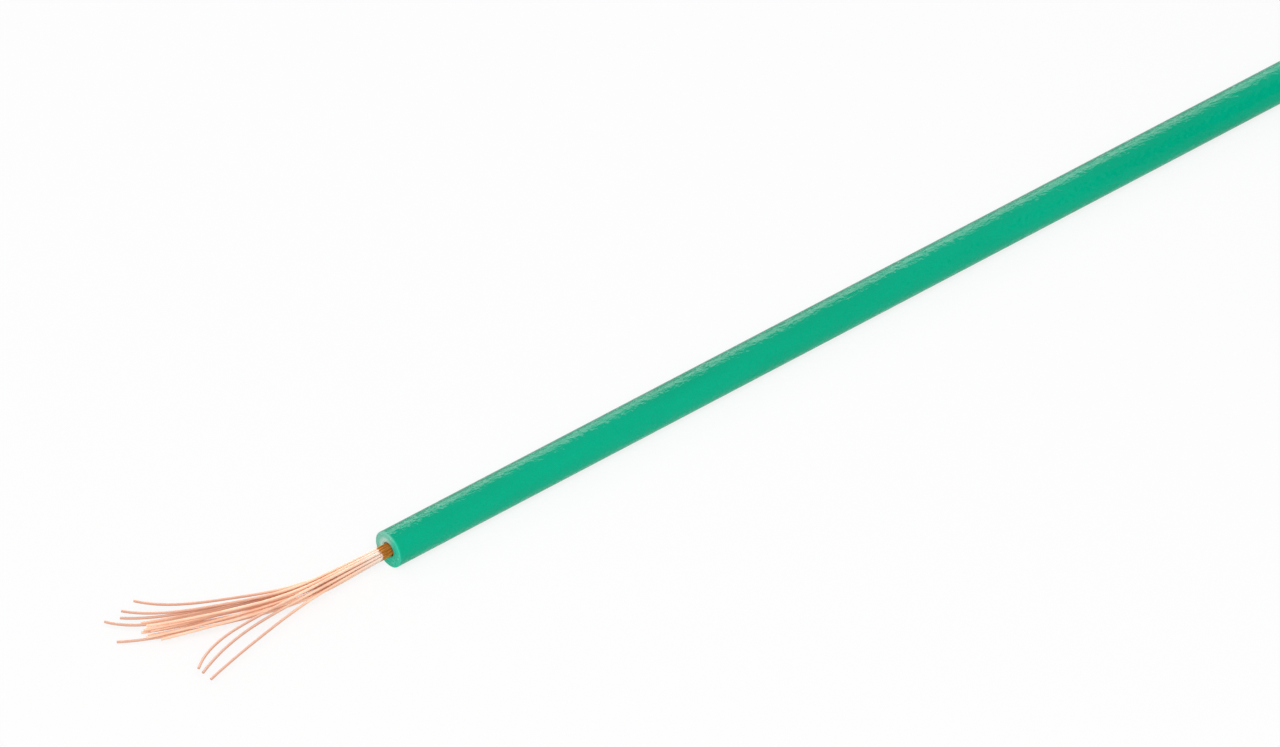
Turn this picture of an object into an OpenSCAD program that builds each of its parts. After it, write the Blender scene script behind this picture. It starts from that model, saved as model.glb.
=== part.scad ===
// Small three-piece snap spool with stranded hook-up wire, its end stripped and fanned
// Units are millimetres. The spool lies flat: its bore is on Z and its lower rim is on Z = 0.
// The wire leaves the spool along -X, comes down to the surface and runs straight to its cut.

/* [Wire] */
// Diameter over the insulation
wire_d = 1.4; // [1.1:0.1:1.6]
// Diameter of one copper strand
strand_d = 0.1; // [0.08:0.01:0.12]
// Air left between neighbouring strands in the bundle
strand_gap = 0.005; // [0.004:0.001:0.01]
// Air left between the bundle and the insulation
bundle_gap = 0.01; // [0.005:0.005:0.02]

/* [Spool] */
// Diameter of both flanges
flange_d = 60; // [56:1:70]
// Clear width between the flanges
winding_w = 14.4; // [13:0.2:18]
// Diameter of the drum that the wire is wound on
drum_d = 25; // [23:0.5:28]
// Wall of the drum
drum_wall = 1.4; // [1.2:0.1:1.6]
// Bore for the dispensing rod
bore_d = 10.2; // [8:0.1:10.4]
// Wall of the bore tube
tube_wall = 1.6; // [1.2:0.1:1.7]
// Thickness of the webs between bore tube and drum
web_t = 1.2; // [0.8:0.1:1.6]
// How far the webs stay short of the drum's ends
web_drop = 0.5; // [0.2:0.1:1.5]

/* [Flanges] */
// Thickness of the flange disc
disc_t = 1.3; // [1.2:0.1:2]
// How far the rim bead stands over a tail that lies on the disc
tail_cover = 0.1; // [0.1:0.1:1]
// Width of the rim bead
rim_w = 1.8; // [1.4:0.1:2.4]
// Diameter of the boss round the bore tube
boss_d = 18; // [17:0.5:20]
// Thickness of the flange ribs
rib_t = 1.2; // [0.8:0.1:1.6]
// How far the ribs stay below the rim bead
rib_drop = 0.5; // [0.3:0.1:0.8]
// Diameter of the sight holes
sight_d = 5.2; // [3:0.1:5.6]
// Pitch circle of the sight holes
sight_pcd = 40; // [38:1:42]
// Chamfer on the rim bead and boss
edge = 0.4; // [0.2:0.1:0.6]

/* [Snap hooks] */
// Number of hooks on each flange
hook_n = 3; // [2:1:3]
// Width of a hook, as an angle round the bore
hook_angle = 20; // [14:1:24]
// Thickness of a hook
hook_t = 1.2; // [1:0.1:1.4]
// Height of the catch over the flange's inner face
catch_h = 3.4; // [3:0.1:4]
// How far the barb reaches past the hook
barb = 0.9; // [0.6:0.1:1]
// Length of the barb's lead-in slope
barb_l = 1.6; // [1.2:0.1:2]

/* [Winding] */
// Layers of wire on the drum, counting the outer one
layers = 9; // [6:1:9]
// Turns in the modelled outer layer
turns = 6; // [4:1:6]
// Bend radius of the wire where it climbs into the outer layer
climb_r = 5.6; // [4.2:0.2:6]

/* [Start tail] */
// Air between the drum and the start slot
slot_inset = 0.35; // [0.2:0.05:1]
// Angle of the start slot
slot_angle = 15; // [12:1:18]
// Bend radius of the tail as it comes through the slot
tail_bend = 2.8; // [2.8:0.1:3.2]
// Straight insulated length of the tail
tail_l = 6; // [4:0.5:7]
// Length of the tail's stripped end
tail_strip = 3; // [2:0.5:4]
// Depth of the bore that the tail's strands stand in
tail_sink = 1.5; // [1:0.5:3]

/* [Clearances] */
// Bore tube in the flange's centre hole, and hooks in the drum
fit_gap = 0.1; // [0.05:0.05:0.2]
// Winding to flange and to drum
wind_gap = 0.1; // [0.05:0.05:0.2]
// Wire in the start slot
slot_gap = 0.15; // [0.1:0.05:0.3]

/* [Hidden] */
$fn = 96;
over = 0.01;                 // cuts run past the faces that they open

// The free wire's route: distance from the spool, and its share of the height that it comes down
route = [[0, 1], [4, 1], [8, 1], [12, 1], [17, 1], [20, 0.93], [23, 0.74], [26, 0.5], [29, 0.26],
  [32, 0.07], [35, 0], [39, 0], [43, 0], [47, 0], [51, 0], [55, 0], [59, 0], [63, 0], [67, 0],
  [71, 0], [75, 0], [78.6, 0]];
lying_from = 39;             // route distance from which the wire lies straight on the surface

// The strands in the bundle's close-packed rows: row, place in the row, length past the cut,
// where the strand starts to lean, its lean in degrees and the extra turn of its tip
strands = [
  [2, 1, 10.2, 1.6, 27, 32], [2, 0, 9.5, 1.8, 23, 8], [2, -1, 9.2, -1, 1.2, -40],
  [1, 1.5, 9.6, 1.1, 29, 34], [1, 0.5, 10.2, 0.9, 24, 25], [1, -0.5, 9.6, 1.2, 21, 8],
  [1, -1.5, 9.1, 4.6, -18, -6],
  [0, 2, 10.8, 1.2, 21.5, 45], [0, 1, 9.3, 1.3, 19.5, 6], [0, 0, 9.6, 1.5, 18.5, 8],
  [0, -1, 9.2, 1.8, 18.5, 4], [0, -2, 9, 1.1, -10, -4],
  [-1, 1.5, 9.4, 0.9, 24, 6], [-1, 0.5, 9, 1.3, 23, 8], [-1, -0.5, 9.5, 1.6, 22, 6],
  [-1, -1.5, 10.7, 1.8, 22.5, 18],
  [-2, 0, 9.6, 1.4, 24, 8], [-2, -1, 9.2, 1.6, 22, 8]];
lean_l = 5;                  // length over which a strand comes to its full lean
tip_l = 3.5;                 // length of the tip that turns further
sag = 0.35;                  // how far a strand of sag_l sinks at its tip
sag_l = 10;
spread_l = 3;                // length over which the rows open once they are free
row_spread = 0.3;
place_spread = 0.25;
strand_step = 0.75;          // length between rings on a bare strand

// Worked out from the sizes above
wire_r = wire_d / 2;
rim_h = wire_d + tail_cover;                   // height of the rim bead over the disc
web_n = 2 * hook_n;                            // webs in the hub, and ribs and sight holes in a flange
face_low = rim_h + disc_t;                     // inner face of the lower flange
face_high = face_low + winding_w;              // inner face of the upper flange
spool_h = face_high + face_low;
tube_d = bore_d + 2 * tube_wall;
drum_in = drum_d / 2 - drum_wall;              // inner radius of the drum
hook_r = drum_in - fit_gap;                    // outer face of a hook
window_h = barb_l + 2 * fit_gap;
window_angle = hook_angle + 4;
wound_r = drum_d / 2 + (layers - 0.5) * wire_d;   // middle of the outer layer
rings = 24;                                    // rings in each turn of the outer layer
chord = wound_r * (1 - cos(180 / rings));      // what a straight step cuts off the circle
core_r = wound_r - wire_r - chord;
wire_low = face_low + wind_gap + wire_r;       // lowest turn
wire_high = face_high - wind_gap - wire_r;     // highest turn
lead = wire_d;                                 // straight length at each end of the outer layer
climb_angle = 62;                              // how far the climbing wire bends before it shows
pitch = strand_d + strand_gap;                 // between strands in a row
row_h = pitch * sin(60);                       // between rows
bundle_r = 2 * pitch + strand_d / 2;
tail_z = spool_h - rim_h + wire_r + wind_gap / 2;
slot_r = drum_d / 2 + slot_inset + slot_gap + wire_r;
slot_l = tail_bend - wire_r;                   // what the bend needs of the slot, outwards
cover_sides = 8;
loop_sides = 6;
cover_r = (bundle_r + bundle_gap) / cos(180 / cover_sides);   // the insulation's hole, at a corner

function strand_name(i) = str("strand_", i < 9 ? "0" : "", i + 1);
function unit(v) = v / norm(v);
function ease(t) = let (u = min(1, max(0, t))) u * u * (3 - 2 * u);
function heading(path, i) = unit(path[min(i + 1, len(path) - 1)] - path[max(i - 1, 0)]);
function across(path, i) = unit(cross([0, 0, 1], heading(path, i)));
function upward(path, i) = cross(heading(path, i), across(path, i));
function ring(path, i, r, sides) = [for (k = [0:sides - 1]) let (a = 360 * (k + 0.5) / sides)
  path[i] + r * (cos(a) * across(path, i) + sin(a) * upward(path, i))];
function rings_of(path, r, sides) = [for (i = [0:len(path) - 1]) each ring(path, i, r, sides)];
// Faces of a skin of n rings, seen from outside, and the same from inside when flip is 1
function skin(n, sides, first = 0, flip = 0) = [for (i = [0:n - 2], k = [0:sides - 1])
  let (a = first + i * sides + k, b = first + i * sides + (k + 1) % sides, c = a + sides, d = b + sides)
  each flip == 1 ? [[a, b, c], [b, d, c]] : [[a, c, b], [b, c, d]]];

module solid_tube(path, r, sides) {
  n = len(path);
  end = (n - 1) * sides;
  near = [for (k = [1:sides - 2]) [0, k, k + 1]];
  far = [for (k = [1:sides - 2]) [end, end + k + 1, end + k]];
  polyhedron(rings_of(path, r, sides), concat(skin(n, sides), near, far));
}

module hollow_tube(path, r, hole_r, sides) {
  n = len(path);
  m = n * sides;
  end = (n - 1) * sides;
  near = [for (k = [0:sides - 1]) let (j = (k + 1) % sides) each [[k, j, m + k], [j, m + j, m + k]]];
  far = [for (k = [0:sides - 1]) let (j = (k + 1) % sides)
    each [[end + k, m + end + k, end + j], [end + j, m + end + k, m + end + j]]];
  polyhedron(concat(rings_of(path, r, sides), rings_of(path, hole_r, sides)),
    concat(skin(n, sides), skin(n, sides, m, 1), near, far));
}

// Hub: bore tube, webs and drum in one moulding, with windows for the flanges' barbs
module hub() {
  color("dimgray") difference() {
    union() {
      cylinder(d = tube_d, h = spool_h);
      translate([0, 0, face_low]) difference() {
        cylinder(d = drum_d, h = winding_w);
        translate([0, 0, -over]) cylinder(r = drum_in, h = winding_w + 2 * over);
      }
      for (i = [0:web_n - 1]) rotate(360 / web_n * i)
        translate([bore_d / 2 + tube_wall / 2, -web_t / 2, face_low + web_drop])
          cube([drum_in - bore_d / 2 - tube_wall / 2 + drum_wall / 2, web_t, winding_w - 2 * web_drop]);
    }
    translate([0, 0, -over]) cylinder(d = bore_d, h = spool_h + 2 * over);
    // one ring of windows for each flange, which is the same moulding turned over
    for (turn = [0, 180]) translate([0, 0, spool_h / 2]) rotate([turn, 0, 0])
      for (i = [0:hook_n - 1]) rotate(360 / hook_n * (i + 0.25) - window_angle / 2)
        translate([0, 0, face_low + catch_h - fit_gap - spool_h / 2])
          rotate_extrude(angle = window_angle)
            translate([drum_in - drum_wall / 2, 0]) square([2 * drum_wall, window_h]);
  }
}

// One flange, its outer face down: disc, rim bead, boss, ribs, sight holes, start slot and hooks
module flange() {
  difference() {
    union() {
      rotate_extrude() polygon([[tube_d / 2 - tube_wall / 2, 0], [boss_d / 2 - edge, 0],
        [boss_d / 2, edge], [boss_d / 2, rim_h], [flange_d / 2 - rim_w, rim_h],
        [flange_d / 2 - rim_w, edge], [flange_d / 2 - rim_w + edge, 0], [flange_d / 2 - edge, 0],
        [flange_d / 2, edge], [flange_d / 2, face_low - edge], [flange_d / 2 - edge, face_low],
        [tube_d / 2 - tube_wall / 2, face_low]]);
      for (i = [0:web_n - 1]) rotate(360 / web_n * i)
        translate([boss_d / 2 - edge, -rib_t / 2, rib_drop])
          cube([flange_d / 2 - rim_w - boss_d / 2 + 2 * edge, rib_t, rim_h - rib_drop + disc_t / 2]);
    }
    translate([0, 0, -over]) cylinder(r = tube_d / 2 + fit_gap, h = face_low + 2 * over);
    for (i = [0:web_n - 1]) rotate(360 / web_n * (i + 0.5))
      translate([sight_pcd / 2, 0, -over]) cylinder(d = sight_d, h = face_low + 2 * over, $fn = 48);
    rotate(slot_angle) translate([slot_r, 0, -over]) {
      for (x = [0, slot_l]) translate([x, 0, 0])
        cylinder(r = wire_r + slot_gap, h = face_low + 2 * over, $fn = 48);
      translate([0, -wire_r - slot_gap, 0])
        cube([slot_l, wire_d + 2 * slot_gap, face_low + 2 * over]);
    }
  }
  for (i = [0:hook_n - 1]) rotate(360 / hook_n * (i + 0.25) - hook_angle / 2)
    rotate_extrude(angle = hook_angle) polygon([[hook_r - hook_t, face_low - over],
      [hook_r, face_low - over], [hook_r, face_low + catch_h], [hook_r + barb, face_low + catch_h],
      [hook_r, face_low + catch_h + barb_l], [hook_r - hook_t, face_low + catch_h + barb_l]]);
}

module flange_lower() { color("dimgray") flange(); }

module flange_upper() { color("dimgray") translate([0, 0, spool_h]) rotate([180, 0, 0]) flange(); }

// Wound wire under the outer layer as one plain ring, with the wire that climbs out of it
module winding_core() {
  color("seagreen") {
    difference() {
      translate([0, 0, face_low + wind_gap / 2]) cylinder(r = core_r, h = winding_w - wind_gap);
      cylinder(r = drum_d / 2 + wind_gap, h = spool_h);
      // the start tail bends up from the floor of this pocket
      rotate(-slot_angle) translate([slot_r, 0, tail_z - tail_bend])
        cylinder(r = wire_r + slot_gap, h = tail_bend, $fn = 48);
    }
    translate([lead, wound_r - climb_r, wire_high]) rotate(90 - climb_angle)
      rotate_extrude(angle = climb_angle) translate([climb_r, 0]) circle(d = wire_d, $fn = 32);
  }
}

// Outer layer: it starts on the climbing wire's end, winds down and leaves straight along -X
outer_path = concat([[lead, wound_r, wire_high]],
  [for (i = [0:rings * turns]) let (a = 90 + 360 * i / rings)
    [wound_r * cos(a), wound_r * sin(a), wire_high - (wire_high - wire_low) * i / (rings * turns)]],
  [[-lead, wound_r, wire_low]]);

module winding_outer_layer() { color("mediumseagreen") solid_tube(outer_path, wire_r, loop_sides); }

least_gap = min([for (i = [0:len(outer_path) - 1], j = [i + rings / 2:1:len(outer_path) - 1])
  norm(outer_path[i] - outer_path[j])]) - wire_d;
echo(str("outer layer: least gap to itself ", least_gap, " mm"));

// Wire's inner end: up out of the winding through the start slot, then flat in the flange's recess
module start_tail_jacket() {
  color("mediumseagreen") rotate(-slot_angle) translate([slot_r + tail_bend, 0, tail_z]) {
    translate([0, 0, -tail_bend]) rotate([90, 0, 0]) rotate(90)
      rotate_extrude(angle = 90) translate([tail_bend, 0]) circle(d = wire_d, $fn = 48);
    difference() {
      rotate([0, 90, 0]) cylinder(d = wire_d, h = tail_l, $fn = 48);
      translate([tail_l - tail_sink, 0, 0]) rotate([0, 90, 0])
        cylinder(r = bundle_r + bundle_gap, h = tail_sink + over, $fn = 48);
    }
  }
}

module start_tail_strands() {
  color("peru") rotate(-slot_angle) translate([slot_r + tail_bend + tail_l - tail_sink, 0, tail_z])
    for (s = strands) translate([0, s[1] * pitch, s[0] * row_h])
      rotate([0, 90, 0]) cylinder(d = strand_d, h = tail_sink + tail_strip, $fn = 24);
}

// Free wire: the insulation along the route, and the bundle in it up to where the wire lies straight
free_path = [for (p = route) [-lead - p[0], wound_r, wire_r + p[1] * (wire_low - wire_r)]];
bundle_path = [for (i = [0:len(route) - 1]) if (route[i][0] <= lying_from) free_path[i]];
cut = free_path[len(free_path) - 1];

module free_jacket() { color("mediumseagreen") hollow_tube(free_path, wire_r, cover_r, cover_sides); }

module conductor_bundle() { color("peru") solid_tube(bundle_path, bundle_r, cover_sides); }

// A strand runs straight through the insulation, then leans away sideways, turns at its tip and sags
function turned(s, at) = s[4] * ease((at - s[3]) / lean_l)
  + s[5] * pow(max(0, (at - s[2] + tip_l) / tip_l), 2);
function strand_steps(s) = ceil(s[2] / strand_step);
function strand_lean(s) = let (n = strand_steps(s), step = s[2] / n)
  [for (i = 0, p = [0, 0]; i <= n; p = p + step * [cos(turned(s, (i + 0.5) * step)),
    sin(turned(s, (i + 0.5) * step))], i = i + 1) p];
function strand_path(s) = let (n = strand_steps(s), lean = strand_lean(s)) concat(
  [[-lead - lying_from, wound_r + s[1] * pitch, wire_r + s[0] * row_h]],
  [for (i = [0:n]) let (at = s[2] * i / n, open = ease(at / spread_l))
    cut + [-lean[i][0], s[1] * pitch * (1 + place_spread * open) + lean[i][1],
      s[0] * row_h * (1 + row_spread * open) - sag * pow(at / sag_l, 2)]]);

module strand(i) { color("peru") solid_tube(strand_path(strands[i]), strand_d / 2, loop_sides); }

hub();
flange_lower();
flange_upper();
winding_core();
winding_outer_layer();
start_tail_jacket();
start_tail_strands();
free_jacket();
conductor_bundle();
for (i = [0:len(strands) - 1]) strand(i);
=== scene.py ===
import math

import bmesh
import bpy
from mathutils import Matrix, Vector


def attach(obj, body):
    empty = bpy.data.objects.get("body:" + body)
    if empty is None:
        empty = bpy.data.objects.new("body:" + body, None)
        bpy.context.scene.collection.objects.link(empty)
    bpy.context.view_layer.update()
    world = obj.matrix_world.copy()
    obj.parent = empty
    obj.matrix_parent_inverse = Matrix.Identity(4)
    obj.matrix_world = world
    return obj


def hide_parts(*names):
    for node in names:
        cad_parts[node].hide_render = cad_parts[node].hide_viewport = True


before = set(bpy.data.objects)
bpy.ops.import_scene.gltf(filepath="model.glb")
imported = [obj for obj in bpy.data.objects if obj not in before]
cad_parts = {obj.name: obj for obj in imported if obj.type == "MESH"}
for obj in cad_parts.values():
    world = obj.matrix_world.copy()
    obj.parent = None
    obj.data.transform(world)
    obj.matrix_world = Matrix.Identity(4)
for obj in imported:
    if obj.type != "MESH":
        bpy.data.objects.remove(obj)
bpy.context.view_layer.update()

# ---------------------------------------------------------------------------------------------
# Viewpoint. A long lens looks down on the stripped end, which lies low and left in the picture,
# so the wire runs out of the upper right corner and the spool lies beyond that edge.
# ---------------------------------------------------------------------------------------------
MM = 0.001                      # metres in a millimetre
cut_end = Vector((-80, 24.4, 0.7)) * MM
view_azimuth = math.radians(-39.1)
view_elevation = math.radians(40)
view_distance = 590 * MM
px_per_mm = 28.36               # at the cut
picture_px = (1280, 747)
cut_px = (387.8, 549.9)
sensor_mm = 36

view_right = Vector((math.cos(view_azimuth), math.sin(view_azimuth), 0))
view_forward = Vector((-math.sin(view_azimuth) * math.cos(view_elevation),
                       math.cos(view_azimuth) * math.cos(view_elevation), -math.sin(view_elevation)))
view_up = view_right.cross(view_forward)
middle = (cut_end + view_right * (picture_px[0] / 2 - cut_px[0]) / px_per_mm * MM
          - view_up * (picture_px[1] / 2 - cut_px[1]) / px_per_mm * MM)

lens = bpy.data.cameras.new("camera")
lens.sensor_width = sensor_mm
lens.lens = sensor_mm * view_distance / MM * px_per_mm / picture_px[0]
lens.clip_end = 20
camera = bpy.data.objects.new("camera", lens)
camera.matrix_world = Matrix.Translation(middle - view_forward * view_distance) @ Matrix(
    (view_right, view_up, -view_forward)).transposed().to_4x4()
bpy.context.collection.objects.link(camera)
bpy.context.scene.camera = camera
bpy.context.scene.view_settings.view_transform = "Standard"

# ---------------------------------------------------------------------------------------------
# Insulation of the free wire. One extruded PVC tube over the strands: it leaves the winding at a
# tangent, comes down off the lower flange, lies straight and ends in a clean square cut.
# ---------------------------------------------------------------------------------------------
wire_r = 0.7 * MM
bore_r = 0.272 * MM             # the strands' bundle fills it
lead = 1.4 * MM                 # straight end of the winding that the free wire starts on
leave_z = 3.6 * MM
lying_z = wire_r
route = [(0, 1), (4, 1), (8, 1), (12, 1), (17, 1), (20, 0.93), (23, 0.74), (26, 0.5), (29, 0.26),
         (32, 0.07), (35, 0), (39, 0), (43, 0), (47, 0), (51, 0), (55, 0), (59, 0), (63, 0), (67, 0),
         (71, 0), (75, 0), (78.6, 0)]     # mm from the spool, share of the height it comes down


def through(points, steps):
    """A smooth line through the points, with that many steps between each two."""
    line = []
    for i in range(len(points) - 1):
        a, b = points[max(i - 1, 0)], points[i]
        c, d = points[i + 1], points[min(i + 2, len(points) - 1)]
        for k in range(steps):
            t = k / steps
            line.append(0.5 * (2 * b + (c - a) * t + (2 * a - 5 * b + 4 * c - d) * t * t
                               + (3 * b - 3 * c + d - a) * t ** 3))
    return line + [points[-1].copy()]


def insulated_wire(name, line, cut_edge, sides=48):
    """A hollow wire along the line. cut_edge lists the lip's rings: how far back, radius, how bare."""
    length = [0.0]
    for a, b in zip(line, line[1:]):
        length.append(length[-1] + (b - a).length)
    rings = [(i, 0, wire_r, 0) for i in range(len(line) - 1)]
    rings += [(len(line) - 1, back, radius, bare) for back, radius, bare in cut_edge]
    rings += [(i, 0, bore_r, 0) for i in reversed(range(len(line) - 1))]
    points, straight, bared = [], [], []
    for i, back, radius, bare in rings:
        ahead = (line[min(i + 1, len(line) - 1)] - line[max(i - 1, 0)]).normalized()
        across = Vector((0, 0, 1)).cross(ahead)
        upright = across.length < 0.01
        across = Vector((0, 1, 0)) if upright else across.normalized()
        up = ahead.cross(across)
        for k in range(sides):
            turn = 2 * math.pi * k / sides
            out = math.cos(turn) * across + math.sin(turn) * up
            points.append(line[i] + out * radius - ahead * back)
            straight.append((length[i] - back, radius * math.cos(turn), radius * math.sin(turn)))
            bared.append(bare)
    faces = []
    for r in range(len(rings)):
        for k in range(sides):
            a, b = r * sides + k, r * sides + (k + 1) % sides
            c, d = [((r + 1) % len(rings)) * sides + j for j in (k, (k + 1) % sides)]
            faces.append((a, b, d, c))
    mesh = bpy.data.meshes.new(name)
    mesh.from_pydata(points, [], faces)
    mesh.attributes.new("straight", "FLOAT_VECTOR", "POINT").data.foreach_set(
        "vector", [x for v in straight for x in v])
    mesh.attributes.new("cut_face", "FLOAT", "POINT").data.foreach_set("value", bared)
    for polygon in mesh.polygons:
        polygon.use_smooth = True
    mesh.set_sharp_from_angle(angle=math.radians(50))     # only the cut's corners are this sharp
    piece = bpy.data.objects.new(name, mesh)
    bpy.context.collection.objects.link(piece)
    return piece


class Pin:
    """A socket in a node tree. Arithmetic on it adds Math nodes, and add() adds any other node."""

    def __init__(self, tree, socket=None):
        self.tree, self.socket = tree, socket

    def add(self, kind, settings=(), values=(), out=0):
        node = self.tree.nodes.new(kind)
        for key, value in dict(settings).items():
            setattr(node, key, value)
        for key, value in dict(values).items():
            self.put(node.inputs[key], value)
        return Pin(self.tree, node.outputs[out])

    def put(self, socket, value):
        if isinstance(value, Pin):
            self.tree.links.new(value.socket, socket)
        else:
            socket.default_value = value

    def math(self, operation, *values):
        return self.add("ShaderNodeMath", {"operation": operation}, enumerate(values))

    def mix(self, colour_a, colour_b):
        """Colours mixed by this pin."""
        return self.add("ShaderNodeMix", {"data_type": "RGBA"}, {0: self, 6: colour_a, 7: colour_b}, 2)

    def step(self, low, high):
        """0 below low, 1 above high, and smooth between."""
        return self.add("ShaderNodeMapRange", {"interpolation_type": "SMOOTHSTEP"},
                        {0: self, 1: low, 2: high})

    def __add__(self, other):
        return self.math("ADD", self, other)

    def __sub__(self, other):
        return self.math("SUBTRACT", self, other)

    def __rsub__(self, other):
        return self.math("SUBTRACT", other, self)

    def __mul__(self, other):
        return self.math("MULTIPLY", self, other)

    def __truediv__(self, other):
        return self.math("DIVIDE", self, other)

    __radd__, __rmul__ = __add__, __mul__


def finish_of(name, constants):
    """A new material, its Principled shader with those constants, and a pin to build on."""
    material = bpy.data.materials.new(name)
    material.use_nodes = True
    shader = material.node_tree.nodes["Principled BSDF"]
    for key, value in constants.items():
        shader.inputs[key].default_value = value
    return material, shader, Pin(material.node_tree)


def noise_on(pin, place, scale, detail=2.0, stretch=(1, 1, 1)):
    """Noise on a place in metres. scale counts its spots in a millimetre."""
    spread = pin.add("ShaderNodeVectorMath", {"operation": "MULTIPLY"},
                     {0: place, 1: [scale / MM * s for s in stretch]})
    return pin.add("ShaderNodeTexNoise", {}, {"Vector": spread, "Scale": 1.0, "Detail": detail})


pvc_green = (0.0, 0.40, 0.23, 1)
pvc_deep = (0.0, 0.375, 0.21, 1)
pvc_cut = (0.035, 0.56, 0.37, 1)
# The next colour is painted light: the lighter mint on the glinting side of the cut face.
pvc_lit_side = (0.20, 0.62, 0.47, 1)
pvc_glint = (0.74, 0.92, 0.85, 1)       # painted glint, whitish, near the core on one side of the cut face
glint_direction = (0, -0.75, 0.66)       # side of the cut face, upwards and to the back, that gets the painted glint
pvc_gloss = 0.07                        # low, so that the body keeps its full green
grain_h = 0.06 * MM

insulation, shader, pin = finish_of("green_insulation", {"Specular IOR Level": pvc_gloss})
straight = pin.add("ShaderNodeAttribute", {"attribute_name": "straight"}, out=1)
cut_face = pin.add("ShaderNodeAttribute", {"attribute_name": "cut_face"}, out=2)
cloud = noise_on(pin, straight, 0.8, 3, (0.25, 1, 1))
grain = noise_on(pin, straight, 8, 1, (0.6, 1, 1))
tear = noise_on(pin, straight, 9, 3)
colour = cloud.step(0.35, 0.7).mix(pvc_green, pvc_deep)
in_radii = pin.add("ShaderNodeVectorMath", {"operation": "MULTIPLY"},
                   {0: straight, 1: (0, 1 / wire_r, 1 / wire_r)})
off_centre = pin.add("ShaderNodeVectorMath", {"operation": "LENGTH"}, {0: in_radii}, 1)
towards_glint = pin.add("ShaderNodeVectorMath", {"operation": "DOT_PRODUCT"},
                       {0: in_radii, 1: glint_direction}, 1)
# Painted highlight: one side of the cut face is lighter mint, and whitish near the core there.
glint_side = (towards_glint + 0.4 * tear).step(0.1, 0.9)
colour = cut_face.mix(colour, glint_side.mix(pvc_cut, pvc_lit_side))
lip = glint_side * (1.0 - off_centre.step(0.45, 0.8))
# The painted glint near the core, joined with random pale specks of the cut plastic.
glint_and_specks = pin.math("MAXIMUM", lip, 0.45 * tear.step(0.62, 0.74))
colour = (cut_face * glint_and_specks).mix(colour, pvc_glint)
pin.put(shader.inputs["Base Color"], colour)
pin.put(shader.inputs["Roughness"], 0.1 + 0.12 * grain + 0.35 * cut_face)
bump = pin.add("ShaderNodeBump", {}, {"Strength": 0.6, "Distance": grain_h,
                                      "Height": grain + 0.1 * cut_face * tear})
pin.put(shader.inputs["Normal"], bump)

free_line = through([Vector((-lead - x * MM, cut_end.y, lying_z + share * (leave_z - lying_z)))
                     for x, share in route], steps=4)
for point in free_line:
    point.z = max(point.z, lying_z)

# the cut's lip, from the outside in: how far back, radius, how bare
cut_edge = [(0.09 * MM, wire_r, 0), (0.04 * MM, wire_r, 0.3), (0.012 * MM, 0.69 * MM, 1),
            (0, 0.665 * MM, 1), (0, 0.55 * MM, 1), (0.004 * MM, 0.42 * MM, 1),
            (0.012 * MM, 0.31 * MM, 1), (0.04 * MM, bore_r, 0.6), (0.1 * MM, bore_r, 0)]
free_wire = insulated_wire("free_wire", free_line, cut_edge)
free_wire.data.materials.append(insulation)
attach(free_wire, "root")
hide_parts("free_jacket")

# ---------------------------------------------------------------------------------------------
# Bare strands. Eighteen soft drawn copper strands, 0.1 mm each, lie packed in rows in the
# insulation. Stripping bent them: most lean one way, three the other, and the tips curl.
# ---------------------------------------------------------------------------------------------
strand_r = 0.05 * MM
strand_pitch = 0.105 * MM
row_h = strand_pitch * math.sin(math.radians(60))
lying_from = (-lead - 39 * MM, cut_end.y, lying_z)
lean_l, tip_l, spread_l = 5 * MM, 3.5 * MM, 3 * MM
sag, sag_l = 0.35 * MM, 10 * MM
row_spread, place_spread = 0.3, 0.25
# row, place in the row, length past the cut and start of the lean in mm,
# lean and tip's turn in degrees
strands = [
    (2, 1, 10.2, 1.6, 27, 32), (2, 0, 9.5, 1.8, 23, 8), (2, -1, 9.2, -1, 1.2, -40),
    (1, 1.5, 9.6, 1.1, 29, 34), (1, 0.5, 10.2, 0.9, 24, 25), (1, -0.5, 9.6, 1.2, 21, 8),
    (1, -1.5, 9.1, 4.6, -18, -6),
    (0, 2, 10.8, 1.2, 21.5, 45), (0, 1, 9.3, 1.3, 19.5, 6), (0, 0, 9.6, 1.5, 18.5, 8),
    (0, -1, 9.2, 1.8, 18.5, 4), (0, -2, 9, 1.1, -10, -4),
    (-1, 1.5, 9.4, 0.9, 24, 6), (-1, 0.5, 9, 1.3, 23, 8), (-1, -0.5, 9.5, 1.6, 22, 6),
    (-1, -1.5, 10.7, 1.8, 22.5, 18),
    (-2, 0, 9.6, 1.4, 24, 8), (-2, -1, 9.2, 1.6, 22, 8)]


def ease(t):
    t = min(1, max(0, t))
    return t * t * (3 - 2 * t)


def strand_line(row, place, reach, start, lean, curl, steps=56):
    """The strand's middle line, from inside the insulation to its tip."""
    reach, start = reach * MM, start * MM
    line = [Vector(lying_from) + Vector((0, place * strand_pitch, row * row_h))]
    along = side = 0.0
    for i in range(steps + 1):
        at = reach * i / steps
        opening = ease(at / spread_l)
        across = side + place * strand_pitch * (1 + place_spread * opening)
        up = row * row_h * (1 + row_spread * opening) - sag * (at / sag_l) ** 2
        line.append(cut_end + Vector((-along, across, up)))
        at += reach / steps / 2
        turned = math.radians(lean * ease((at - start) / lean_l)
                              + curl * max(0, (at - reach + tip_l) / tip_l) ** 2)
        along += reach / steps * math.cos(turned)
        side += reach / steps * math.sin(turned)
    return line


def geometry_tree(name, inputs):
    """A new Geometry Nodes tree with those inputs (name, socket kind, value)."""
    tree = bpy.data.node_groups.new(name, "GeometryNodeTree")
    tree.interface.new_socket("Geometry", in_out="INPUT", socket_type="NodeSocketGeometry")
    tree.interface.new_socket("Geometry", in_out="OUTPUT", socket_type="NodeSocketGeometry")
    for label, kind, value in inputs:
        socket = tree.interface.new_socket(label, in_out="INPUT", socket_type="NodeSocket" + kind)
        if value is not None:
            socket.default_value = value
    source = tree.nodes.new("NodeGroupInput")
    given = {socket.name: Pin(tree, socket) for socket in source.outputs if socket.name}
    return tree, given, Pin(tree)


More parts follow.
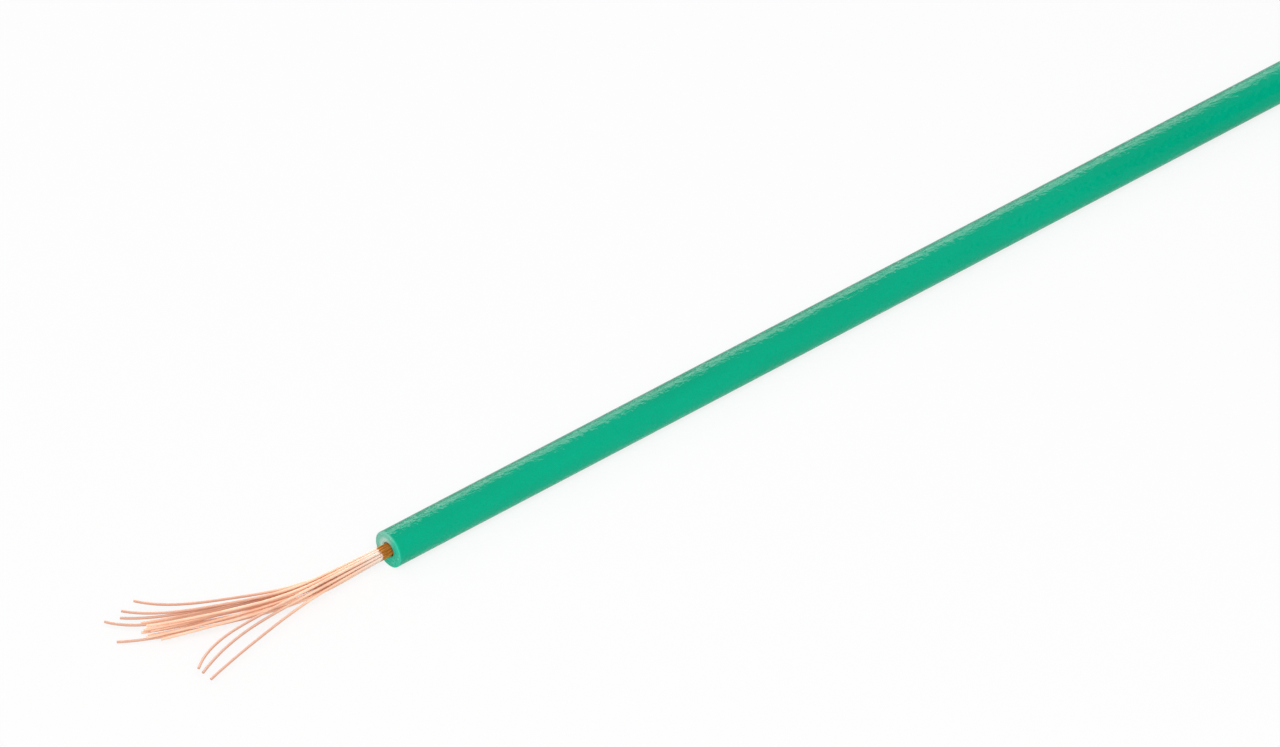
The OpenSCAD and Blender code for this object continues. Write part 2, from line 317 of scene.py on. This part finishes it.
def close_tree(tree, pin, geometry, material):
    """Ends a tree with its instances made real and its material set."""
    real = pin.add("GeometryNodeRealizeInstances", {}, {0: geometry})
    painted = pin.add("GeometryNodeSetMaterial", {}, {"Geometry": real, "Material": material})
    tree.links.new(painted.socket, tree.nodes.new("NodeGroupOutput").inputs[0])


def made_by(tree, name, source, values):
    """The plain mesh that the tree makes from the source object, which it takes the place of."""
    modifier = source.modifiers.new("tree", "NODES")
    modifier.node_group = tree
    sockets = {item.name: item.identifier for item in tree.interface.items_tree
               if item.in_out == "INPUT"}
    for label, value in values.items():
        modifier[sockets[label]] = value
    graph = bpy.context.evaluated_depsgraph_get()
    mesh = bpy.data.meshes.new_from_object(source.evaluated_get(graph), depsgraph=graph)
    source.modifiers.remove(modifier)
    bpy.data.objects.remove(source)
    mesh.name = name
    piece = bpy.data.objects.new(name, mesh)
    bpy.context.collection.objects.link(piece)
    return piece


def line_object(name, lines):
    """A curve object of plain open lines."""
    curve = bpy.data.curves.new(name, "CURVE")
    curve.dimensions = "3D"
    for line in lines:
        spline = curve.splines.new("POLY")
        spline.points.add(len(line) - 1)
        spline.points.foreach_set("co", [x for p in line for x in (*p, 1)])
    source = bpy.data.objects.new(name, curve)
    bpy.context.collection.objects.link(source)
    return source


def swept(pin, path, radius, sides, covered=0.0, loose_shade=0.0):
    """Sweeps a round section along a path, and keeps each point's place on the straight wire."""
    section = pin.add("GeometryNodeCurvePrimitiveCircle", {},
                      {"Resolution": sides, "Radius": radius})
    kept = {}
    for key, geometry, field, kind in (
            ("section", section, pin.add("GeometryNodeInputPosition"), "VECTOR"),
            ("path", path, pin.add("GeometryNodeSplineParameter", out=1), "FLOAT")):
        node = pin.tree.nodes.new("GeometryNodeCaptureAttribute")
        node.capture_items.new(kind, key)
        pin.tree.links.new(geometry.socket, node.inputs[0])
        pin.tree.links.new(field.socket, node.inputs[1])
        kept[key] = (Pin(pin.tree, node.outputs[0]), Pin(pin.tree, node.outputs[1]))
    tube = pin.add("GeometryNodeCurveToMesh", {}, {0: kept["path"][0], 1: kept["section"][0],
                                                   "Fill Caps": True})
    across = pin.add("ShaderNodeSeparateXYZ", {}, {0: kept["section"][1]})
    up = Pin(pin.tree, across.socket.node.outputs[1])
    straight = pin.add("ShaderNodeCombineXYZ", {}, {0: kept["path"][1] - covered, 1: across, 2: up})
    marked = pin.add("GeometryNodeStoreNamedAttribute", {"data_type": "FLOAT_VECTOR"},
                     {"Geometry": tube, "Name": "straight", "Value": straight})
    # The second attribute says how much painted shade a strand's copper gets.
    marked = pin.add("GeometryNodeStoreNamedAttribute", {"data_type": "FLOAT"},
                     {"Geometry": marked, "Name": "loose_shade", "Value": loose_shade})
    return pin.add("GeometryNodeSetShadeSmooth", {}, {"Geometry": marked})


copper_bright = (0.92, 0.64, 0.48, 1)
copper_warm = (0.88, 0.55, 0.39, 1)
# The next two colours are painted shade on the strands where they leave the insulation.
copper_dark = (0.42, 0.14, 0.02, 1)
copper_shade_warm = (0.66, 0.27, 0.055, 1)
# The next colour is a painted highlight, whitish, on the strands next to the cut.
copper_highlight = (0.88, 0.70, 0.60, 1)
# The next colour is painted shade for the strands that stand apart from the rest.
copper_shaded = (0.71, 0.43, 0.32, 1)
copper_metal = 0.35             # low, for the pale look of copper under a bright studio light
highlight_l = 2.2 * MM               # length past the cut that gets the painted highlight
loose_l = 6 * MM                # length at which the strands that were bent apart stand clear
shade_l = 0.46 * MM           # length next to the insulation that gets painted shade
draw_line_h = 0.002 * MM

copper, shader, pin = finish_of("bare_copper", {"Metallic": copper_metal, "Specular IOR Level": 0.1})
straight = pin.add("ShaderNodeAttribute", {"attribute_name": "straight"}, out=1)
in_object = pin.add("ShaderNodeTexCoord", out=3)
past_cut = pin.add("ShaderNodeSeparateXYZ", {}, {0: straight})
draw_lines = noise_on(pin, straight, 30, 2, (0.02, 1, 1))
tint = noise_on(pin, in_object, 1.2, 2)
ragged = noise_on(pin, in_object, 9, 1)
# Painted shade: a ragged band of dark copper next to the insulation's face.
shaded_by_insulation = 1.0 - (past_cut / shade_l + (ragged - 0.5) * 0.9).step(0.85, 1.0)
colour = tint.step(0.35, 0.7).mix(copper_bright, copper_warm)
# Painted highlight: the strands are paler over the first millimetres past the cut.
colour = (past_cut / highlight_l).step(0.2, 1.0).mix(copper_highlight, colour)
loose_shade = pin.add("ShaderNodeAttribute", {"attribute_name": "loose_shade"}, out=2)
# Painted shade: the strands bent apart turn darker from about 3.6 mm past the cut, fully by 6 mm.
colour = (loose_shade * (past_cut / loose_l).step(0.6, 1.0)).mix(colour, copper_shaded)
# streaks vary the painted shade between dark brown and orange.
streaks = noise_on(pin, straight, 20, 2, (0.1, 1, 1)).step(0.35, 0.65)
pin.put(shader.inputs["Base Color"], shaded_by_insulation.mix(colour, streaks.mix(copper_dark, copper_shade_warm)))
pin.put(shader.inputs["Roughness"], 0.7 + 0.1 * draw_lines)
pin.put(shader.inputs["Normal"], pin.add("ShaderNodeBump", {}, {
    "Strength": 0.4, "Distance": draw_line_h, "Height": draw_lines}))

drawn_strand, given, pin = geometry_tree("drawn_strand", [
    ("Radius", "Float", strand_r), ("Sides", "Int", 12), ("Covered length", "Float", 0.0),
    ("Loose shade", "Float", 0.0)])
close_tree(drawn_strand, pin, swept(pin, given["Geometry"], given["Radius"], given["Sides"],
                                    given["Covered length"], given["Loose shade"]), copper)

covered_l = lying_from[0] - cut_end.x
for number, row in enumerate(strands, 1):
    name = f"strand_{number:02d}"
    lean, curl = row[4:]
    # Strands bent apart get painted shade on their copper.
    bent_apart = lean < 5 or abs(curl) > 10
    line = line_object(name + "_line", [strand_line(*row)])
    strand = made_by(drawn_strand, "bare_" + name, line,
                     {"Covered length": covered_l, "Loose shade": float(bent_apart)})
    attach(strand, "root")
    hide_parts(name)

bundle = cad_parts["conductor_bundle"]
for slot in bundle.material_slots:
    slot.material = copper

free_l = sum((b - a).length for a, b in zip(free_line, free_line[1:]))

# ---------------------------------------------------------------------------------------------
# Wound wire. Ten metres of the same wire, laid in nine layers from the drum outwards. Each layer
# runs from one flange to the other and climbs to the next in half a turn.
# ---------------------------------------------------------------------------------------------
first_layer_r = 12.5 * MM + wire_r
layers = 9
turns_in_layer = 9
climb_turns = 0.5
first_turn_part = 105 / 360      # from the start slot round to where the count of turns begins
steps_in_turn = 40
lowest_z, highest_z = 3.6 * MM, 16.4 * MM

wound, given, pin = geometry_tree("wound_wire", [
    ("Wire radius", "Float", wire_r), ("Sides", "Int", 12),
    ("First layer radius", "Float", first_layer_r), ("Layers", "Int", layers),
    ("Turns in a layer", "Int", turns_in_layer),
    ("Lowest turn", "Float", lowest_z), ("Highest turn", "Float", highest_z)])
period = given["Turns in a layer"] + climb_turns
all_turns = given["Layers"] * period - climb_turns
count = (all_turns + first_turn_part) * steps_in_turn + 2
points = pin.add("GeometryNodeMeshLine", {}, {"Count": pin.math("ROUND", count)})
index = pin.add("GeometryNodeInputIndex")
turn = pin.math("MINIMUM", index / steps_in_turn - first_turn_part, all_turns)
layer = pin.math("MAXIMUM", pin.math("FLOOR", turn / period), 0.0)
in_layer = turn - layer * period
crossed = pin.math("MINIMUM", pin.math("MAXIMUM", in_layer / given["Turns in a layer"], 0.0), 1.0)
climbed = ((in_layer - given["Turns in a layer"]) / climb_turns).step(0.0, 1.0)
radius = given["First layer radius"] + (layer + climbed) * 2.0 * given["Wire radius"]
rising = pin.math("MODULO", layer, 2.0)
share_up = rising * crossed + (1.0 - rising) * (1.0 - crossed)
height = given["Lowest turn"] + share_up * (given["Highest turn"] - given["Lowest turn"])
angle = (turn - all_turns) * (2 * math.pi) + math.pi / 2
last = pin.math("GREATER_THAN", index, count - 1.5)
spot = pin.add("ShaderNodeCombineXYZ", {}, {
    0: radius * pin.math("COSINE", angle) - last * lead, 1: radius * pin.math("SINE", angle),
    2: height})
laid = pin.add("GeometryNodeSetPosition", {}, {"Geometry": points, "Position": spot})
path = pin.add("GeometryNodeMeshToCurve", {}, {0: laid})
close_tree(wound, pin, swept(pin, path, given["Wire radius"], given["Sides"]), insulation)

any_line = [(0, 0, 0), (0, 0, 1)]       # the tree doesn't look at what it is given
winding = made_by(wound, "wound_wire", line_object("winding_line", [any_line]), {})
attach(winding, "root")
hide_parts("winding_core", "winding_outer_layer")

# ---------------------------------------------------------------------------------------------
# Start of the wire. Its inner end comes up out of the winding through the slot in the upper
# flange, bends over and lies in the flange's recess, with a few millimetres stripped.
# ---------------------------------------------------------------------------------------------
slot_angle = math.radians(-15)
slot_r = 13.7 * MM
tail_bend = 2.8 * MM
tail_z = 19.25 * MM
tail_l = 6 * MM
tail_strip = 3 * MM
tail_sink = 1.5 * MM
tail_side_spread, tail_row_spread = 1.2, 0.3     # how far the stripped ends part, in pitches
outwards = Vector((math.cos(slot_angle), math.sin(slot_angle), 0))
sideways = Vector((-outwards.y, outwards.x, 0))
upwards = Vector((0, 0, 1))
bend_steps, straight_steps, strip_steps = 12, 8, 16

tail_line = []
for i in range(bend_steps + 1):
    bent = math.pi / 2 * i / bend_steps
    tail_line.append(outwards * (slot_r + tail_bend * (1 - math.cos(bent)))
                     + upwards * (tail_z - tail_bend * (1 - math.sin(bent))))
bend_end = tail_line[-1]
tail_line += [bend_end + outwards * tail_l * i / straight_steps for i in range(1, straight_steps + 1)]
tail = insulated_wire("start_tail", tail_line, cut_edge)
tail.data.materials.append(insulation)
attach(tail, "root")
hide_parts("start_tail_jacket")

tail_ends = []
for row, place, *_ in strands:
    begin = (tail_line[-1] - outwards * tail_sink + sideways * place * strand_pitch
             + upwards * row * row_h)
    splay = (sideways * place * tail_side_spread + upwards * row * tail_row_spread) * strand_pitch
    line = []
    for i in range(strip_steps + 1):
        at = (tail_sink + tail_strip) * i / strip_steps
        line.append(begin + outwards * at + splay * ease((at - tail_sink) / tail_strip))
    tail_ends.append(line)
tail_copper = made_by(drawn_strand, "start_tail_copper", line_object("tail_lines", tail_ends),
                      {"Covered length": tail_sink})
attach(tail_copper, "root")
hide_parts("start_tail_strands")

# ---------------------------------------------------------------------------------------------
# Hub and flanges. Injection-moulded in dark polystyrene with a fine spark-eroded texture; the
# flanges' hooks snap into the drum. The rim beads are rubbed smooth by bench tops and hands.
# ---------------------------------------------------------------------------------------------
plastic_dark = (0.028, 0.030, 0.033, 1)
plastic_worn = (0.048, 0.050, 0.054, 1)
plastic_rubbed = (0.085, 0.087, 0.092, 1)
rim_inner_r = 28.1 * MM         # the rim bead starts here
texture_h = 0.04 * MM

charcoal, shader, pin = finish_of("moulded_charcoal", {"Specular IOR Level": 0.45})
in_object = pin.add("ShaderNodeTexCoord", out=3)
texture = noise_on(pin, in_object, 6, 3)
wear = noise_on(pin, in_object, 0.12, 3)
in_plan = pin.add("ShaderNodeVectorMath", {"operation": "MULTIPLY"}, {0: in_object, 1: (1, 1, 0)})
from_axis = pin.add("ShaderNodeVectorMath", {"operation": "LENGTH"}, {0: in_plan}, 1)
rim = from_axis.step(rim_inner_r, rim_inner_r + 0.3 * MM)
scuffs = noise_on(pin, in_object, 1.6, 4, (1, 1, 3)).step(0.56, 0.7)
colour = wear.step(0.45, 0.75).mix(plastic_dark, plastic_worn)
colour = (rim * scuffs * 0.7).mix(colour, plastic_rubbed)
pin.put(shader.inputs["Base Color"], colour)
pin.put(shader.inputs["Roughness"], 0.44 + 0.16 * texture - 0.1 * wear - 0.12 * rim)
pin.put(shader.inputs["Normal"], pin.add("ShaderNodeBump", {}, {
    "Strength": 0.5, "Distance": texture_h, "Height": texture * (1 - 0.6 * rim)}))

edge_radius = 0.09 * MM         # more would overlap at the ribs' inner ends
for node in ("hub", "flange_lower", "flange_upper"):
    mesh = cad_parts[node].data.copy()
    mesh.materials.clear()
    mesh.materials.append(charcoal)
    form = bmesh.new()
    form.from_mesh(mesh)
    bmesh.ops.remove_doubles(form, verts=form.verts, dist=0.001 * MM)
    bmesh.ops.dissolve_limit(form, angle_limit=math.radians(0.5), verts=form.verts, edges=form.edges)
    for face in form.faces:
        face.smooth = True
    form.to_mesh(mesh)
    form.free()
    moulding = bpy.data.objects.new("moulded_" + node, mesh)
    bpy.context.collection.objects.link(moulding)
    rounding = moulding.modifiers.new("rounding", "BEVEL")
    rounding.width = edge_radius
    rounding.segments = 2
    rounding.angle_limit = math.radians(35)
    rounding.use_clamp_overlap = False
    shading = moulding.modifiers.new("shading", "WEIGHTED_NORMAL")
    shading.weight = 100
    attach(moulding, "root")
    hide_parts(node)

# ---------------------------------------------------------------------------------------------
# Marks of the mould. In each flange's recess six ejector pins have left a fine raised ring, and
# the gate the stub of plastic that it was broken off from.
# ---------------------------------------------------------------------------------------------
pin_ring_r, pin_bead_r = 1.25 * MM, 0.05 * MM
pins_circle_r = 25.4 * MM
first_pin_angle = math.radians(30)
gate_r, gate_h = 0.45 * MM, 0.2 * MM
gate_circle_r = 11.6 * MM
recess_z = {"lower": 1.5 * MM, "upper": 18.5 * MM}

mould_marks, given, pin = geometry_tree("mould_marks", [
    ("Ring radius", "Float", pin_ring_r), ("Bead radius", "Float", pin_bead_r), ("Pins", "Int", 6),
    ("Circle radius", "Float", pins_circle_r), ("Recess", "Float", 0.0)])
ring_path = pin.add("GeometryNodeCurvePrimitiveCircle", {},
                    {"Resolution": 32, "Radius": given["Ring radius"]})
pins = pin.add("GeometryNodeMeshCircle", {},
               {"Vertices": given["Pins"], "Radius": given["Circle radius"]})
rings = pin.add("GeometryNodeInstanceOnPoints", {}, {
    "Points": pins, "Instance": swept(pin, ring_path, given["Bead radius"], 6)})
stub_path = pin.add("GeometryNodeCurvePrimitiveLine", {}, {
    "Start": (gate_circle_r, 0, -gate_h), "End": (gate_circle_r, 0, gate_h)})
marks = pin.tree.nodes.new("GeometryNodeJoinGeometry")
for mark in (rings, swept(pin, stub_path, gate_r, 16)):
    pin.tree.links.new(mark.socket, marks.inputs[0])
placed = pin.add("GeometryNodeTransform", {}, {
    "Geometry": Pin(pin.tree, marks.outputs[0]), "Rotation": (0, 0, first_pin_angle),
    "Translation": pin.add("ShaderNodeCombineXYZ", {}, {2: given["Recess"]})})
close_tree(mould_marks, pin, placed, charcoal)

for side, recess in recess_z.items():
    marked = made_by(mould_marks, "mould_marks_" + side, line_object("marks_line", [any_line]),
                     {"Recess": recess})
    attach(marked, "root")

# ---------------------------------------------------------------------------------------------
# Surface and light. A white table top under plain soft light: a wide panel behind the wire draws
# the highlight along its top, and one in front of it fills the shadows.
# ---------------------------------------------------------------------------------------------
table_size = 6.0
table_mesh = bpy.data.meshes.new("table_top")
half = table_size / 2
corners = [(-half, -half, 0), (half, -half, 0), (half, half, 0), (-half, half, 0)]
table_mesh.from_pydata(corners, [], [(0, 1, 2, 3)])
table_top = bpy.data.objects.new("table_top", table_mesh)
bpy.context.collection.objects.link(table_top)


def backdrop_seen(pin):
    """1 for what the camera sees, also in reflections and through glass. 0 for light on the object."""
    ray = pin.tree.nodes.new("ShaderNodeLightPath")
    seen = Pin(pin.tree, ray.outputs["Is Camera Ray"])
    for kind in ("Is Glossy Ray", "Is Transmission Ray"):
        seen = pin.math("MAXIMUM", seen, Pin(pin.tree, ray.outputs[kind]))
    return seen


white_share = 0.8               # the rest of the table's colour shows the shadow
white_table, shader, pin = finish_of("white_table", {
    "Base Color": (0.98, 0.98, 0.98, 1), "Roughness": 0.9, "Specular IOR Level": 0.0})
glow = pin.add("ShaderNodeEmission", {}, {"Color": (1, 1, 1, 1), "Strength": 1.0})
mixed = pin.add("ShaderNodeMixShader", {}, {
    0: backdrop_seen(pin) * white_share, 1: Pin(pin.tree, shader.outputs[0]), 2: glow})
pin.tree.links.new(mixed.socket, pin.tree.nodes["Material Output"].inputs["Surface"])
table_mesh.materials.append(white_table)

world = bpy.data.worlds.new("studio")
world.use_nodes = True
bpy.context.scene.world = world
pin = Pin(world.node_tree)
room_light = 0.54
backdrop = pin.tree.nodes["Background"]
pin.put(backdrop.inputs["Color"], (1, 1, 1, 1))
pin.put(backdrop.inputs["Strength"], room_light + (1 - room_light) * backdrop_seen(pin))


def panel(name, heading, elevation, distance, width, height, power, highlight_only=False):
    """A soft rectangular light that faces the wire's stripped end."""
    light = bpy.data.lights.new(name, "AREA")
    light.shape = "RECTANGLE"
    light.size, light.size_y, light.energy = width, height, power
    lamp = bpy.data.objects.new(name, light)
    heading, elevation = math.radians(heading), math.radians(elevation)
    towards = Vector((math.cos(heading) * math.cos(elevation), math.sin(heading) * math.cos(elevation),
                      math.sin(elevation)))
    lamp.location = cut_end + towards * distance
    lamp.rotation_euler = towards.to_track_quat("Z", "Y").to_euler()
    lamp.visible_camera = False
    lamp.visible_diffuse = not highlight_only
    bpy.context.collection.objects.link(lamp)


panel("back_panel", heading=51, elevation=29.5, distance=0.6, width=1.0, height=0.38, power=8.0,
      highlight_only=True)
panel("front_panel", heading=-127, elevation=51, distance=0.9, width=0.6, height=0.6, power=5.0)
